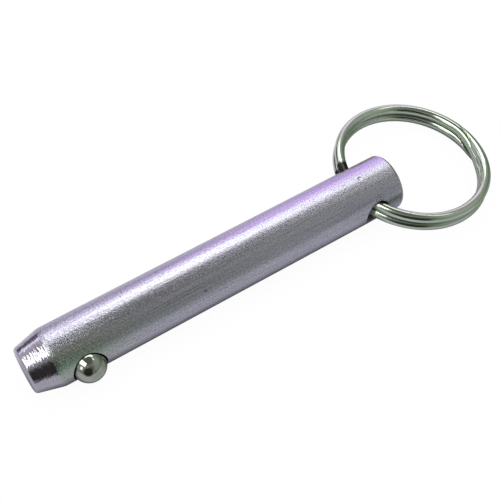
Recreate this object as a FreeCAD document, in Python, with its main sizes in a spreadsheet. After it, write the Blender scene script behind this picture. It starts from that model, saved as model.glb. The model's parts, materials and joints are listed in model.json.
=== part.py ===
"""Hitch pin lock: a ball-detent hitch pin with a split ring.

A round steel shank has a turned conical tip, a sprung ball near the tip that holds the pin in its
hole, and a cross hole near the head that carries a two-turn split ring to pull it out by.

Frame, in millimetres: the origin is on the shank's axis in the middle of the grip, +X runs from the
tip to the head, the ball stands out towards -Y, and +Z is up when the pin lies on a flat surface.
The shank and the ball are drawn from the tip face and placed so that the grip's middle is at x = 0.
"""
import FreeCAD, Part
import math
import os
import Sketcher

DOCUMENT_NAME = "HitchPinLock"
OUTPUT_FOLDER = "parts"

# Driving dimensions, in millimetres and degrees: (alias, value, what it measures).
DIMENSIONS = (
    ("shank_radius", 6.35, "half the 1/2 inch shank diameter"),
    ("shank_length", 88.0, "tip face to head face"),
    ("cone_length", 5.7, "turned lead-in cone, along the axis"),
    ("tip_face_radius", 4.6, "flat end of the cone"),
    ("tip_edge_round", 0.3, "rounding between tip face and cone"),
    ("head_chamfer_length", 0.5, "head edge chamfer, along the axis"),
    ("head_chamfer_depth", 0.33, "head edge chamfer, across the axis"),
    ("end_relief", 0.04, "how far the two end zones taper below the grip, on the radius"),
    ("grip_start", 15.4, "tip face to the start of the full-diameter grip"),
    ("grip_length", 62.0, "length of the full-diameter grip"),
    ("ball_radius", 3.5, "detent ball"),
    ("ball_from_tip", 11.2, "tip face to the ball hole's axis"),
    ("ball_offset", 5.5, "shank axis to the ball's centre at rest"),
    ("seat_gap", 0.02, "radial gap between the ball and its seat and bore"),
    ("seat_mouth_radius", 3.44, "opening in the staked lip that keeps the ball in"),
    ("seat_floor", 2.9, "shank axis to the end of the ball bore's straight wall"),
    ("drill_half_angle", 59.0, "half the point angle of the drill that makes the bore"),
    ("mouth_overshoot", 1.0, "how far the cutting profiles start outside the shank"),
    ("ring_hole_radius", 3.05, "cross hole for the split ring"),
    ("ring_hole_from_tip", 81.1, "tip face to the cross hole's axis"),
    ("hole_edge_break", 0.2, "chamfer round both mouths of the cross hole"),
    ("ring_wire_radius", 1.15, "split ring wire"),
    ("ring_radius", 16.85, "centre of the ring to the centre of its wire"),
    ("ring_layer_gap", 0.04, "gap between the ring's two turns"),
    ("ring_reach", 16.0, "cross hole axis to the ring's centre, in the ring's plane"),
    ("ring_side_shift", 1.8, "ring's centre from the shank's mid plane, away from the ball"),
    ("ring_droop", 7.0, "slope of the ring's plane below the shank's axis at rest"),
    ("ring_rise_start", -30.0, "where the wire leaves the lower turn, round the ring from +X"),
    ("ring_rise_span", 44.0, "arc over which it climbs to the upper turn"),
    ("ring_end_share", 0.85, "share of that arc that each tapered end lies along"),
    ("ring_end_gap", 0.03, "gap between a tapered end and the climbing wire"),
    ("spring_wire_radius", 0.25, "detent spring wire"),
    ("spring_radius", 2.75, "centre of the spring to the centre of its wire"),
    ("spring_turns", 5.5, "total turns, with one closed turn at each end"),
    ("spring_closed_pitch", 0.53, "rise of a closed turn, just over the wire's diameter"),
    ("spring_seat_gap", 0.03, "gap left at each of the spring's two seats"),
)

SPRING_POINTS_PER_TURN = 16
RISE_POINTS = 13
TOLERANCE = 1e-4
X_AXIS = FreeCAD.Vector(1, 0, 0)
Y_AXIS = FreeCAD.Vector(0, 1, 0)
Z_AXIS = FreeCAD.Vector(0, 0, 1)

# Places that more than one piece needs, as expressions on the sheet.
TIP_TO_ORIGIN = "(sheet.grip_start + sheet.grip_length / 2)"
SEAT_RADIUS = "(sheet.ball_radius + sheet.seat_gap)"
SEAT_TOP = "(sheet.shank_radius + sheet.mouth_overshoot)"


def make_sheet(doc):
    """Put the driving dimensions in a spreadsheet, one named cell each."""
    sheet = doc.addObject("Spreadsheet::Sheet", "sheet")
    for row, (alias, value, meaning) in enumerate(DIMENSIONS, start=1):
        sheet.set(f"A{row}", alias)
        sheet.set(f"B{row}", str(value))
        sheet.set(f"C{row}", meaning)
        sheet.setAlias(f"B{row}", alias)
    doc.recompute()
    return sheet


def value_of(sheet, expression):
    """Work out an expression on the sheet as a plain number."""
    return float(sheet.evalExpression(expression))


# Sketches


def origin_feature(body, role):
    """Return one of a body's own origin planes or axes by its role."""
    return next(item for item in body.Origin.OriginFeatures if item.Role == role)


def make_sketch(body, name, plane_role, offset=()):
    """Attach a sketch to one of its body's origin planes, shifted by expressions on the sheet."""
    sketch = body.newObject("Sketcher::SketchObject", name)
    sketch.AttachmentSupport = [(origin_feature(body, plane_role), "")]
    sketch.MapMode = "FlatFace"
    for axis, expression in offset:
        sketch.setExpression(f"AttachmentOffset.Base.{axis}", expression)
    return sketch


def bind_point(sketch, geometry, point, place):
    """Hold a sketch point at two expressions' distances from the sketch's own origin."""
    origin = (-1, 1)
    for kind, aligned, expression in zip(("DistanceX", "DistanceY"), ("Vertical", "Horizontal"), place):
        if expression == "0":
            sketch.addConstraint(Sketcher.Constraint(aligned, *origin, geometry, point))
        else:
            held = Sketcher.Constraint(kind, *origin, geometry, point, 1.0)
            index = sketch.addConstraint(held)
            sketch.setExpression(f"Constraints[{index}]", expression)


def draw_outline(sheet, sketch, corners, arc_at=None, arc_centre=None):
    """Draw a closed outline through corners; the side after corner arc_at is an arc.

    The arc runs anticlockwise round arc_centre, which lies on the sketch's vertical axis.
    """
    places = [FreeCAD.Vector(*(value_of(sheet, item) for item in corner)) for corner in corners]
    count = len(corners)
    for side in range(count):
        start = places[side]
        finish = places[(side + 1) % count]
        if side == arc_at:
            centre = FreeCAD.Vector(*(value_of(sheet, item) for item in arc_centre))
            circle = Part.Circle(centre, Z_AXIS, start.distanceToPoint(centre))
            angles = [math.atan2(*reversed((end - centre)[:2])) for end in (start, finish)]
            sketch.addGeometry(Part.ArcOfCircle(circle, *angles))
        else:
            sketch.addGeometry(Part.LineSegment(start, finish))
    for side in range(count):
        sketch.addConstraint(Sketcher.Constraint("Coincident", side, 2, (side + 1) % count, 1))
    if arc_at is not None:
        sketch.addConstraint(Sketcher.Constraint("PointOnObject", arc_at, 3, -2))
    for side, corner in enumerate(corners):
        bind_point(sketch, side, 1, corner)


# Shank


def add_blank(doc, sheet, body):
    """Turn the shank: flat tip face, lead-in cone, grip between two relieved zones, head chamfer."""
    grip_end = "sheet.grip_start + sheet.grip_length"
    relieved = "sheet.shank_radius - sheet.end_relief"
    sketch = make_sketch(body, "blank_outline", "XY_Plane")
    draw_outline(sheet, sketch, (
        ("0", "0"),
        ("sheet.shank_length", "0"),
        ("sheet.shank_length", f"{relieved} - sheet.head_chamfer_depth"),
        ("sheet.shank_length - sheet.head_chamfer_length", relieved),
        (grip_end, "sheet.shank_radius"),
        ("sheet.grip_start", "sheet.shank_radius"),
        ("sheet.cone_length", relieved),
        ("0", "sheet.tip_face_radius"),
    ))
    blank = body.newObject("PartDesign::Revolution", "blank")
    blank.Profile = sketch
    blank.ReferenceAxis = (sketch, ["H_Axis"])
    blank.Angle = 360.0
    doc.recompute()
    return blank


def add_tip_round(doc, sheet, body, base):
    """Round the edge between the tip face and the cone."""
    tip_radius = value_of(sheet, "sheet.tip_face_radius")
    edges = circular_edges(base.Shape, lambda circle: abs(circle.Radius - tip_radius) < TOLERANCE)
    tip_round = body.newObject("PartDesign::Fillet", "tip_round")
    tip_round.Base = (base, edges)
    tip_round.setExpression("Radius", "sheet.tip_edge_round")
    doc.recompute()
    return tip_round


def circular_edges(shape, wanted):
    """Name the full circular edges of a shape that wanted accepts."""
    return [
        f"Edge{number}"
        for number, edge in enumerate(shape.Edges, start=1)
        if isinstance(edge.Curve, Part.Circle) and wanted(edge.Curve)
    ]


def add_ball_seat(doc, sheet, body):
    """Cut the ball's blind bore: staked lip, part-spherical seat, straight wall, drill point.

    The outline is drawn as depth below a point just outside the shank, on the ball's own axis.
    """
    centre = f"{SEAT_TOP} - sheet.ball_offset"
    lip = f"{centre} - sqrt({SEAT_RADIUS}^2 - sheet.seat_mouth_radius^2)"
    floor = f"{SEAT_TOP} + sheet.seat_floor"
    point = f"{floor} + {SEAT_RADIUS} / tan(sheet.drill_half_angle * 1 deg)"
    offset = (("x", "sheet.ball_from_tip"), ("y", f"-{SEAT_TOP}"))
    sketch = make_sketch(body, "ball_seat_outline", "XY_Plane", offset)
    draw_outline(sheet, sketch, (
        ("0", "0"),
        ("sheet.seat_mouth_radius", "0"),
        ("sheet.seat_mouth_radius", lip),
        (SEAT_RADIUS, centre),
        (SEAT_RADIUS, floor),
        ("0", point),
    ), arc_at=2, arc_centre=("0", centre))
    seat = body.newObject("PartDesign::Groove", "ball_seat")
    seat.Profile = sketch
    seat.ReferenceAxis = (sketch, ["V_Axis"])
    seat.Angle = 360.0
    doc.recompute()
    return seat


def add_ring_hole(doc, body):
    """Drill the split ring's cross hole right through the shank."""
    sketch = make_sketch(body, "ring_hole_outline", "XZ_Plane")
    circle = Part.Circle(FreeCAD.Vector(1, 0, 0), Z_AXIS, 1.0)
    sketch.addGeometry(circle)
    bind_point(sketch, 0, 3, ("sheet.ring_hole_from_tip", "0"))
    index = sketch.addConstraint(Sketcher.Constraint("Radius", 0, 1.0))
    sketch.setExpression(f"Constraints[{index}]", "sheet.ring_hole_radius")
    hole = body.newObject("PartDesign::Pocket", "ring_hole")
    hole.Profile = sketch
    hole.Type = "ThroughAll"
    hole.Midplane = True
    doc.recompute()
    return hole


def add_hole_edge_break(doc, sheet, body, base):
    """Break the two mouths of the cross hole."""
    middle = value_of(sheet, "sheet.ring_hole_from_tip")
    reach = value_of(sheet, "sheet.ring_hole_radius")
    edges = []
    for number, edge in enumerate(base.Shape.Edges, start=1):
        box = edge.BoundBox
        at_hole = abs(box.XMin - middle + reach) < TOLERANCE and abs(box.XMax - middle - reach) < TOLERANCE
        closed = len(edge.Vertexes) == 1
        if at_hole and closed:
            edges.append(f"Edge{number}")
    edge_break = body.newObject("PartDesign::Chamfer", "hole_edge_break")
    edge_break.Base = (base, edges)
    edge_break.setExpression("Size", "sheet.hole_edge_break")
    doc.recompute()
    return edge_break


def make_shank(doc, sheet):
    """Build the shank and check that each cut takes metal away."""
    body = doc.addObject("PartDesign::Body", "shank")
    body.Label = "shank"
    blank = add_blank(doc, sheet, body)
    steps = [blank, add_tip_round(doc, sheet, body, blank)]
    steps.append(add_ball_seat(doc, sheet, body))
    steps.append(add_ring_hole(doc, body))
    steps.append(add_hole_edge_break(doc, sheet, body, steps[-1]))
    for before, after in zip(steps, steps[1:]):
        if not after.Shape.Volume < before.Shape.Volume:
            raise RuntimeError(f"{after.Name} cut nothing")
    body.setExpression("Placement.Base.x", f"-{TIP_TO_ORIGIN}")
    return body


# Detent


def make_ball(doc):
    """Make the steel ball, resting against the lip of its seat."""
    ball = doc.addObject("Part::Sphere", "detent_ball")
    ball.Label = "detent_ball"
    ball.setExpression("Radius", "sheet.ball_radius")
    ball.setExpression("Placement.Base.x", f"sheet.ball_from_tip - {TIP_TO_ORIGIN}")
    ball.setExpression("Placement.Base.y", "-sheet.ball_offset")
    return ball


def smooth_step(share):
    """Ease from 0 to 1 with level ends, holding both ends outside that range."""
    share = min(max(share, 0.0), 1.0)
    return share * share * (3 - 2 * share)


def sweep_wire(path, start, tangent, wire_radius, binormal=None):
    """Sweep a round wire along a path and return it as a solid."""
    section = Part.Wire(Part.Circle(start, tangent, wire_radius).toShape())
    pipe = Part.BRepOffsetAPI.MakePipeShell(path)
    if binormal is None:
        pipe.setFrenetMode(False)
    else:
        pipe.setBiNormalMode(binormal)
    pipe.add(section)
    pipe.build()
    pipe.makeSolid()
    return pipe.shape()


def make_spring(doc, sheet):
    """Wind the detent spring between the drill point and the ball's inner side.

    It is wound up from z = 0 with its axis along +Z, and then laid down to face the ball.
    """
    wire = value_of(sheet, "sheet.spring_wire_radius")
    coil = value_of(sheet, "sheet.spring_radius")
    turns = value_of(sheet, "sheet.spring_turns")
    closed_pitch = value_of(sheet, "sheet.spring_closed_pitch")
    seat_gap = value_of(sheet, "sheet.spring_seat_gap")
    half_angle = math.radians(value_of(sheet, "sheet.drill_half_angle"))
    bore = value_of(sheet, SEAT_RADIUS)
    floor = value_of(sheet, "sheet.seat_floor")
    floor += (bore - coil) / math.tan(half_angle) - wire / math.sin(half_angle) - seat_gap
    touch = value_of(sheet, "sheet.ball_radius") + wire + seat_gap
    length = floor + value_of(sheet, "sheet.ball_offset") - math.sqrt(touch ** 2 - coil ** 2)
    opening = length - closed_pitch * turns

    def place(turn):
        active = (turn - 1) / (turns - 2)
        height = closed_pitch * turn + opening * smooth_step(active)
        angle = 2 * math.pi * turn
        return FreeCAD.Vector(coil * math.cos(angle), coil * math.sin(angle), height)

    count = round(turns * SPRING_POINTS_PER_TURN)
    curve = Part.BSplineCurve()
    curve.interpolate([place(turns * step / count) for step in range(count + 1)])
    path = Part.Wire(curve.toShape())
    tangent = curve.tangent(curve.FirstParameter)[0]
    spring = doc.addObject("Part::Feature", "detent_spring")
    spring.Label = "detent_spring"
    spring.Shape = sweep_wire(path, curve.StartPoint, tangent, wire, binormal=Z_AXIS)
    middle = value_of(sheet, f"sheet.ball_from_tip - {TIP_TO_ORIGIN}")
    lay_down = FreeCAD.Rotation(X_AXIS, 90)
    spring.Placement = FreeCAD.Placement(FreeCAD.Vector(middle, floor, 0), lay_down)
    return spring


# Split ring


def ring_point(sheet, angle, height):
    """Return the point over the ring's centre circle at an angle in degrees and a height."""
    radius = value_of(sheet, "sheet.ring_radius")
    turned = math.radians(angle)
    return FreeCAD.Vector(radius * math.cos(turned), radius * math.sin(turned), height)


def ring_arc(sheet, height, first, last):
    """Return the arc of the ring's centre circle between two angles, at a height."""
    circle = Part.Circle(FreeCAD.Vector(0, 0, height), Z_AXIS, value_of(sheet, "sheet.ring_radius"))
    return Part.ArcOfCircle(circle, math.radians(first), math.radians(last))


def rise_curve(sheet, level, lift=0.0):
    """Return the climb from the lower turn to the upper one, level at both ends, lifted by lift."""
    start = value_of(sheet, "sheet.ring_rise_start")
    span = value_of(sheet, "sheet.ring_rise_span")
    points = []
    for step in range(RISE_POINTS):
        share = step / (RISE_POINTS - 1)
        height = level * (2 * smooth_step(share) - 1) + lift
        points.append(ring_point(sheet, start + span * share, height))
    tangents = [Z_AXIS.cross(FreeCAD.Vector(end.x, end.y, 0)) for end in (points[0], points[-1])]
    curve = Part.BSplineCurve()
    curve.interpolate(Points=points, InitialTangent=tangents[0], FinalTangent=tangents[1])
    return curve


def tapered_end(sheet, level, side):
    """Return one end of the wire, lying flat against the climbing part of it.

    side is 1 for the end on the upper turn, which lies over the climb, and -1 for the one under it.
    """
    wire = value_of(sheet, "sheet.ring_wire_radius")
    gap = value_of(sheet, "sheet.ring_end_gap")
    start = value_of(sheet, "sheet.ring_rise_start")
    span = value_of(sheet, "sheet.ring_rise_span")
    length = span * value_of(sheet, "sheet.ring_end_share")
    first, last = (start, start + length) if side > 0 else (start + span - length, start + span)
    arc = ring_arc(sheet, side * level, first, last)
    tangent = arc.tangent(arc.FirstParameter)[0]
    end = sweep_wire(Part.Wire(arc.toShape()), arc.StartPoint, tangent, wire)

    climb = rise_curve(sheet, level, side * (wire + gap))
    outward = FreeCAD.Vector(climb.StartPoint.x, climb.StartPoint.y, 0).normalize()
    width = outward * (2 * wire)
    depth = Z_AXIS * (-side * 4 * level)
    foot = climb.StartPoint
    corners = [foot - width, foot + width, foot + width + depth, foot - width + depth]
    ramp = Part.BRepOffsetAPI.MakePipeShell(Part.Wire(climb.toShape()))
    ramp.setBiNormalMode(Z_AXIS)
    ramp.add(Part.makePolygon(corners + corners[:1]))
    ramp.build()
    ramp.makeSolid()
    return end.cut(ramp.shape())


def make_split_ring(doc, sheet):
    """Coil the split ring and hang it through the cross hole.

    One wire makes two turns: it leaves a tapered end under the climb, goes round on the lower turn,
    climbs, goes round again on the upper turn, and ends in a taper over the climb. At rest the ring
    leans down until it lies level with the underside of the shank.
    """
    wire = value_of(sheet, "sheet.ring_wire_radius")
    level = value_of(sheet, "sheet.ring_wire_radius + sheet.ring_layer_gap / 2")
    rise_start = value_of(sheet, "sheet.ring_rise_start")
    rise_end = rise_start + value_of(sheet, "sheet.ring_rise_span")
    lower = ring_arc(sheet, -level, rise_end, rise_start + 360)
    upper = ring_arc(sheet, level, rise_end, rise_start + 360)
    climb = rise_curve(sheet, level)
    path = Part.Wire([lower.toShape(), climb.toShape(), upper.toShape()])
    tangent = lower.tangent(lower.FirstParameter)[0]
    coil = sweep_wire(path, lower.StartPoint, tangent, wire)
    ends = [tapered_end(sheet, level, side) for side in (1, -1)]

    ring = doc.addObject("Part::Feature", "split_ring")
    ring.Label = "split_ring"
    ring.Shape = coil.fuse(ends).removeSplitter()
    droop = FreeCAD.Rotation(Y_AXIS, value_of(sheet, "sheet.ring_droop"))
    hole = FreeCAD.Vector(value_of(sheet, f"sheet.ring_hole_from_tip - {TIP_TO_ORIGIN}"), 0, 0)
    reach = FreeCAD.Vector(value_of(sheet, "sheet.ring_reach"), 0, 0)
    shift = FreeCAD.Vector(0, value_of(sheet, "sheet.ring_side_shift"), 0)
    ring.Placement = FreeCAD.Placement(hole + shift + droop.multVec(reach), droop)
    return ring


# Checks and output


def check_document(doc, pieces):
    """Stop unless every object recomputed and every piece is one sound solid."""
    for item in doc.Objects:
        if {"Invalid", "Error"} & set(item.State):
            raise RuntimeError(f"{item.Name} failed: {item.State}")
    for piece in pieces:
        shape = piece.Shape
        if shape.isNull() or not shape.isValid() or len(shape.Solids) != 1:
            raise RuntimeError(f"{piece.Label} is not one valid solid")


def write_pieces(pieces):
    """Write each piece to its own STEP file, named after its label."""
    os.makedirs(OUTPUT_FOLDER, exist_ok=True)
    for piece in pieces:
        piece.Shape.exportStep(os.path.join(OUTPUT_FOLDER, f"{piece.Label}.step"))
        box = piece.Shape.BoundBox
        print(
            f"{piece.Label}: {piece.Shape.Volume:.2f} mm3,"
            f" x {box.XMin:.2f}..{box.XMax:.2f},"
            f" y {box.YMin:.2f}..{box.YMax:.2f},"
            f" z {box.ZMin:.2f}..{box.ZMax:.2f}"
        )


def main():
    doc = FreeCAD.newDocument(DOCUMENT_NAME)
    sheet = make_sheet(doc)
    pieces = [
        make_shank(doc, sheet),
        make_ball(doc),
        make_spring(doc, sheet),
        make_split_ring(doc, sheet),
    ]
    doc.recompute()
    check_document(doc, pieces)
    write_pieces(pieces)


main()
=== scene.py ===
"""Hitch pin lock: finished meshes, metals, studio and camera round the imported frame.

Lengths are in millimetres until a mesh is made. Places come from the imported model: +X runs from the
shank's tip to its head, the ball stands out towards -Y, and +Z is up. An angle round the shank starts
at -Y, where the ball is, and grows towards +Z.
"""
import json
import math
import random

import bmesh
import bpy
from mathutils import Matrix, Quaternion, Vector


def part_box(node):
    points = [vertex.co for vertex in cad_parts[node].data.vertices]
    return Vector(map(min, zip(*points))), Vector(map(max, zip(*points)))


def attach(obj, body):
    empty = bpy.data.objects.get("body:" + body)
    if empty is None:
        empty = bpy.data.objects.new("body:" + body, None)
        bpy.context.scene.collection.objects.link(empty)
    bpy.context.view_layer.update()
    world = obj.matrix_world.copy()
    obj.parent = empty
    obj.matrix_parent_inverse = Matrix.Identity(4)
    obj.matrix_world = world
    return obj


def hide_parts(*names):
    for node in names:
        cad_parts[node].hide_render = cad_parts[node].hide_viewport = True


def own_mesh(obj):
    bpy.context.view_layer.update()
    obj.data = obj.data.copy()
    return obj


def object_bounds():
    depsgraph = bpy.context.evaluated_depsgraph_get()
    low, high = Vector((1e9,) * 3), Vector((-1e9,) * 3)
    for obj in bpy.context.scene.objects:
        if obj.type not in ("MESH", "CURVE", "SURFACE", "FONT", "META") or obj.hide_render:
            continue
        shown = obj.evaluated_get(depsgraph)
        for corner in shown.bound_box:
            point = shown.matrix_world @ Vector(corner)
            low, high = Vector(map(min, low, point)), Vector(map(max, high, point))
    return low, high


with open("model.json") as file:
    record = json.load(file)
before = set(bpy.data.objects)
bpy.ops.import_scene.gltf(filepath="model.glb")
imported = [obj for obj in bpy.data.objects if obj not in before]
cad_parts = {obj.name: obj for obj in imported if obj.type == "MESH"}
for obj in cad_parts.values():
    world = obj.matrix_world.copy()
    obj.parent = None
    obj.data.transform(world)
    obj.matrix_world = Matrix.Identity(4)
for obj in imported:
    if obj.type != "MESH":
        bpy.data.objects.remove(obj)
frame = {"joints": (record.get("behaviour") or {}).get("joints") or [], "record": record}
CAD_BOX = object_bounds()

MM = 0.001
TINY = 1e-6
TURN = 2 * math.pi


def box_mm(node):
    """Return a CAD node's two corners in millimetres."""
    low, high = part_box(node)
    return low / MM, high / MM


def entry(entries, name):
    """Return the named entry of a list in the record."""
    return next(item for item in entries if item["name"] == name)


# Sizes that the frame holds.

MOUNTS = frame["record"]["mounts"]
GRIP = entry(MOUNTS, "shank_grip")
EYE = entry(MOUNTS, "ring_eye")
SWING = entry(frame["joints"], "ring_swing")

SHANK_LOW, SHANK_HIGH = box_mm("shank")
BALL_LOW, BALL_HIGH = box_mm("detent_ball")
SPRING_LOW, SPRING_HIGH = box_mm("detent_spring")
RING_LOW, RING_HIGH = box_mm("split_ring")

GRIP_RADIUS = GRIP["dims"]["r_mm"]
GRIP_HALF = GRIP["dims"]["length_mm"] / 2
TIP_X = SHANK_LOW.x
HEAD_X = SHANK_HIGH.x
BALL_RADIUS = (BALL_HIGH.x - BALL_LOW.x) / 2
BALL_CENTRE = (BALL_LOW + BALL_HIGH) / 2
HOLE_X = SWING["pos_m"][0] / MM
RING_CENTRE = Vector(EYE["pos_m"]) / MM
RING_AXIS = Vector(EYE["axis"]).normalized()
RING_OUTER = (RING_HIGH.y - RING_LOW.y) / 2
RING_WIRE = (RING_OUTER - EYE["dims"]["r_mm"]) / 2
RING_RADIUS = RING_OUTER - RING_WIRE

# Sizes of the shank's turned ends and holes.

TIP_FACE_RADIUS = 4.85
TIP_ROUND = 0.8
CONE_LENGTH = 5.7
CONE_SHOULDER_ROUND = 5.0
END_RELIEF = 0.04
HEAD_CHAMFER_LENGTH = 0.5
HEAD_CHAMFER_DEPTH = 0.33
HEAD_CORNER_ROUND = 0.12
GROOVE_FEED = 0.62
GROOVE_SLOPE = math.radians(5.5)
GROOVE_WIDTHS = (0.6, 1.3)
GROOVE_DEPTHS = (0.3, 1.0)
GROOVE_SHAPE = ((0, 0), (0.3, 0.75), (0.5, 1), (0.7, 0.75))
RING_HOLE_RADIUS = 3.05
RING_HOLE_EDGE = 0.2
BURR_HEIGHT = 0.09
BURR_START = 0.9
BALL_BORE_RADIUS = 3.52
BALL_MOUTH_GROOVE = 0.2
BALL_MOUTH_EDGE = 0.06
BALL_MOUTH_FLARE = ((0.06, 0.35), (0, 0.9))
BALL_BORE_FLOOR = 2.9
DRILL_HALF_ANGLE = math.radians(59)

# Sizes of the ring and the spring.

RING_LAYER_GAP = 0.04
RING_RISE_START = -30
RING_RISE_SPAN = 44
RING_END_SHARE = 0.92
RING_END_GAP = 0.03
RING_NIB_ARC = 22
RING_NIB_SHARE = 0.8
SPRING_WIRE = 0.25
SPRING_RADIUS = 2.75
SPRING_TURNS = 5.5
SPRING_CLOSED_PITCH = 0.53

# The arc of the ring painted near black, where it runs in and beside the shank's hole, in degrees: its
# middle, its half length and its ragged edge.

DARK_ARC_MIDDLE = 178
DARK_ARC_HALF = 21
DARK_ARC_FRINGE = 3

# How finely the meshes are drawn. Both end faces have circles at shares of their radius.

SIDES = 128
TIP_FACE_CIRCLES = (0.12, 0.4, 0.7, 0.92)
HEAD_FACE_CIRCLES = (0.85, 0.6, 0.35, 0.12)
FILLET_STEPS = 6
HEAD_OUTER_STEPS = 3
HEAD_INNER_STEPS = 4
TIP_ZONE_STEPS = 4
HEAD_ZONE_STEPS = 8
BORE_WALL_SHARES = (0.3, 0.6, 1)
BORE_POINT_SHARES = (0.4, 0.8)
BALL_PATCH_CELLS = 14
BALL_PATCH_HALF = 4.2
RING_PATCH_CELLS = 12
PATCH_RINGS = 10
PATCH_CROWDING = 1.6
CROSS_HOLE_STEPS = 12
RIM_STEPS = 4
GRIP_STEP = 2.0
RING_STEP = 1.5
RING_SIDES = 32
RING_SHARP_ANGLE = math.radians(35)
RING_ARC_SIDES = 20
SPRING_STEP = 10.0
SPRING_SIDES = 14
BALL_CELLS = 24

SKIN, TURNED, BORE = 0, 1, 2


class Surface:
    """Rows of points, in millimetres, with the faces between them."""

    def __init__(self):
        self.points = []
        self.normals = []
        self.faces = []
        self.slots = []
        self.uvs = []

    def row(self, points, normals=None):
        """Add points and return their numbers. A zero normal is left to Blender."""
        first = len(self.points)
        self.points.extend(Vector(point) for point in points)
        self.normals.extend(normals or [Vector()] * len(points))
        return list(range(first, len(self.points)))

    def face(self, corners, slot=0, uvs=None):
        """Add one face with its material slot and, where it has them, its UV places."""
        self.faces.append(corners)
        self.slots.append(slot)
        self.uvs.append(uvs)

    def band(self, first, second, slot):
        """Join two closed rows of the same length with quads."""
        count = len(first)
        for i in range(count):
            j = (i + 1) % count
            self.face((first[i], first[j], second[j], second[i]), slot)

    def extend(self, last, points, slot, normals=None):
        """Add a row, join it to the last one and return it."""
        new = self.row(points, normals)
        self.band(last, new, slot)
        return new

    def fan(self, row, centre, slot=0, uvs=None):
        """Close a row with triangles to one centre point."""
        middle = self.row([centre])[0]
        count = len(row)
        for i in range(count):
            self.face((row[i], row[(i + 1) % count], middle), slot, uvs)

    def build(self, name, materials, sharp=None):
        """Make the mesh object, in metres, with smooth shading and outward faces."""
        mesh = bpy.data.meshes.new(name)
        mesh.from_pydata([point * MM for point in self.points], [], self.faces)
        for material in materials:
            mesh.materials.append(material)
        mesh.polygons.foreach_set("material_index", self.slots)
        mesh.polygons.foreach_set("use_smooth", [True] * len(self.faces))
        if self.uvs[0]:
            layer = mesh.uv_layers.new(name="UVMap")
            layer.data.foreach_set("uv", [value for uvs in self.uvs for uv in uvs for value in uv])
        face_outward(mesh)
        if sharp is not None:
            mesh.set_sharp_from_angle(angle=sharp)
        if any(normal.length_squared for normal in self.normals):
            mesh.normals_split_custom_set_from_vertices(self.normals)
        mesh.update()
        return show(name, mesh)


def show(name, data):
    """Put a mesh or a camera into the scene and return its object."""
    shown = bpy.data.objects.new(name, data)
    bpy.context.scene.collection.objects.link(shown)
    return shown


def face_outward(mesh):
    """Turn every face of a closed mesh to look outwards."""
    work = bmesh.new()
    work.from_mesh(mesh)
    bmesh.ops.recalc_face_normals(work, faces=work.faces)
    work.to_mesh(mesh)
    work.free()


def smooth_step(share):
    """Ease from 0 to 1, level at both ends."""
    return share * share * (3 - 2 * share)


# Shank


def skin_radius(x):
    """Radius of the shank's cylinder, which tapers slightly over each end zone."""
    past_grip = max(abs(x) - GRIP_HALF, 0)
    zone = (HEAD_X - HEAD_CHAMFER_LENGTH if x > 0 else -TIP_X - CONE_LENGTH) - GRIP_HALF
    return GRIP_RADIUS - END_RELIEF * min(past_grip / zone, 1)


def round_point(x, radius, angle):
    """Return the point at an angle round the shank's axis."""
    return Vector((x, -radius * math.cos(angle), radius * math.sin(angle)))


def skin_normal(angle):
    """Outward direction of the cylinder at an angle."""
    return Vector((0, -math.cos(angle), math.sin(angle)))


def turned_points(x, radius):
    """A full circle of points round the axis."""
    return [round_point(x, radius, TURN * k / SIDES) for k in range(SIDES)]


def turned_rows(surface, profile, start, slot):
    """Add a circle at each (x, radius) of a profile, joined on from a starting row."""
    last = start
    for x, radius in profile:
        last = surface.extend(last, turned_points(x, radius), slot)
    return last


def arc_profile(x, radius, size, first, last, steps):
    """Points of a fillet round (x, radius); angle 0 faces the tip, and a quarter turn outward."""
    points = []
    for step in range(steps + 1):
        angle = first + (last - first) * step / steps
        points.append((x - size * math.cos(angle), radius + size * math.sin(angle)))
    return points


def grooved_profile(start, end):
    """Cone profile with the tool's feed marks, as grooves that only cut inwards.

    GROOVE_SHAPE gives each groove's points as a share of its width and a share of its depth.
    """
    rng = random.Random(7)
    points = []
    x = start[0]
    slope = (end[1] - start[1]) / (end[0] - start[0])
    while x < end[0] - GROOVE_FEED:
        width = GROOVE_FEED * rng.uniform(*GROOVE_WIDTHS)
        depth = width / 2 * math.tan(GROOVE_SLOPE * rng.uniform(*GROOVE_DEPTHS))
        surface_radius = start[1] + slope * (x - start[0])
        for share, sunk in GROOVE_SHAPE:
            radius = surface_radius + slope * width * share - depth * sunk
            points.append((x + width * share, radius))
        x += width
    points.append(end)
    return points


def add_tip(surface, first_grid_row):
    """Add the tip face, its rounding, the grooved cone and the shoulder, up to the cylinder."""
    base_x = TIP_X + CONE_LENGTH
    base_radius = skin_radius(base_x)
    slope = math.atan2(base_radius - TIP_FACE_RADIUS, CONE_LENGTH)
    centre_x = TIP_X + TIP_ROUND
    centre_radius = TIP_FACE_RADIUS + TIP_ROUND * (math.tan(slope) - 1 / math.cos(slope))
    face = [(TIP_X, centre_radius * share) for share in TIP_FACE_CIRCLES]
    rounding = arc_profile(centre_x, centre_radius, TIP_ROUND, 0, math.pi / 2 - slope, FILLET_STEPS)
    reach = CONE_SHOULDER_ROUND * math.tan(slope / 2)
    cone_end = (base_x - reach * math.cos(slope), base_radius - reach * math.sin(slope))
    shoulder = arc_profile(
        base_x + reach, base_radius - CONE_SHOULDER_ROUND, CONE_SHOULDER_ROUND,
        math.pi / 2 - slope, math.pi / 2, FILLET_STEPS,
    )
    middle = surface.row(turned_points(*face[0]))
    surface.fan(middle, (TIP_X, 0, 0), TURNED)
    last = turned_rows(surface, face[1:], middle, TURNED)
    last = turned_rows(surface, rounding, last, TURNED)
    last = turned_rows(surface, grooved_profile(rounding[-1], cone_end)[1:], last, TURNED)
    last = turned_rows(surface, shoulder[1:-1], last, SKIN)
    surface.band(last, first_grid_row, SKIN)


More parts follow.
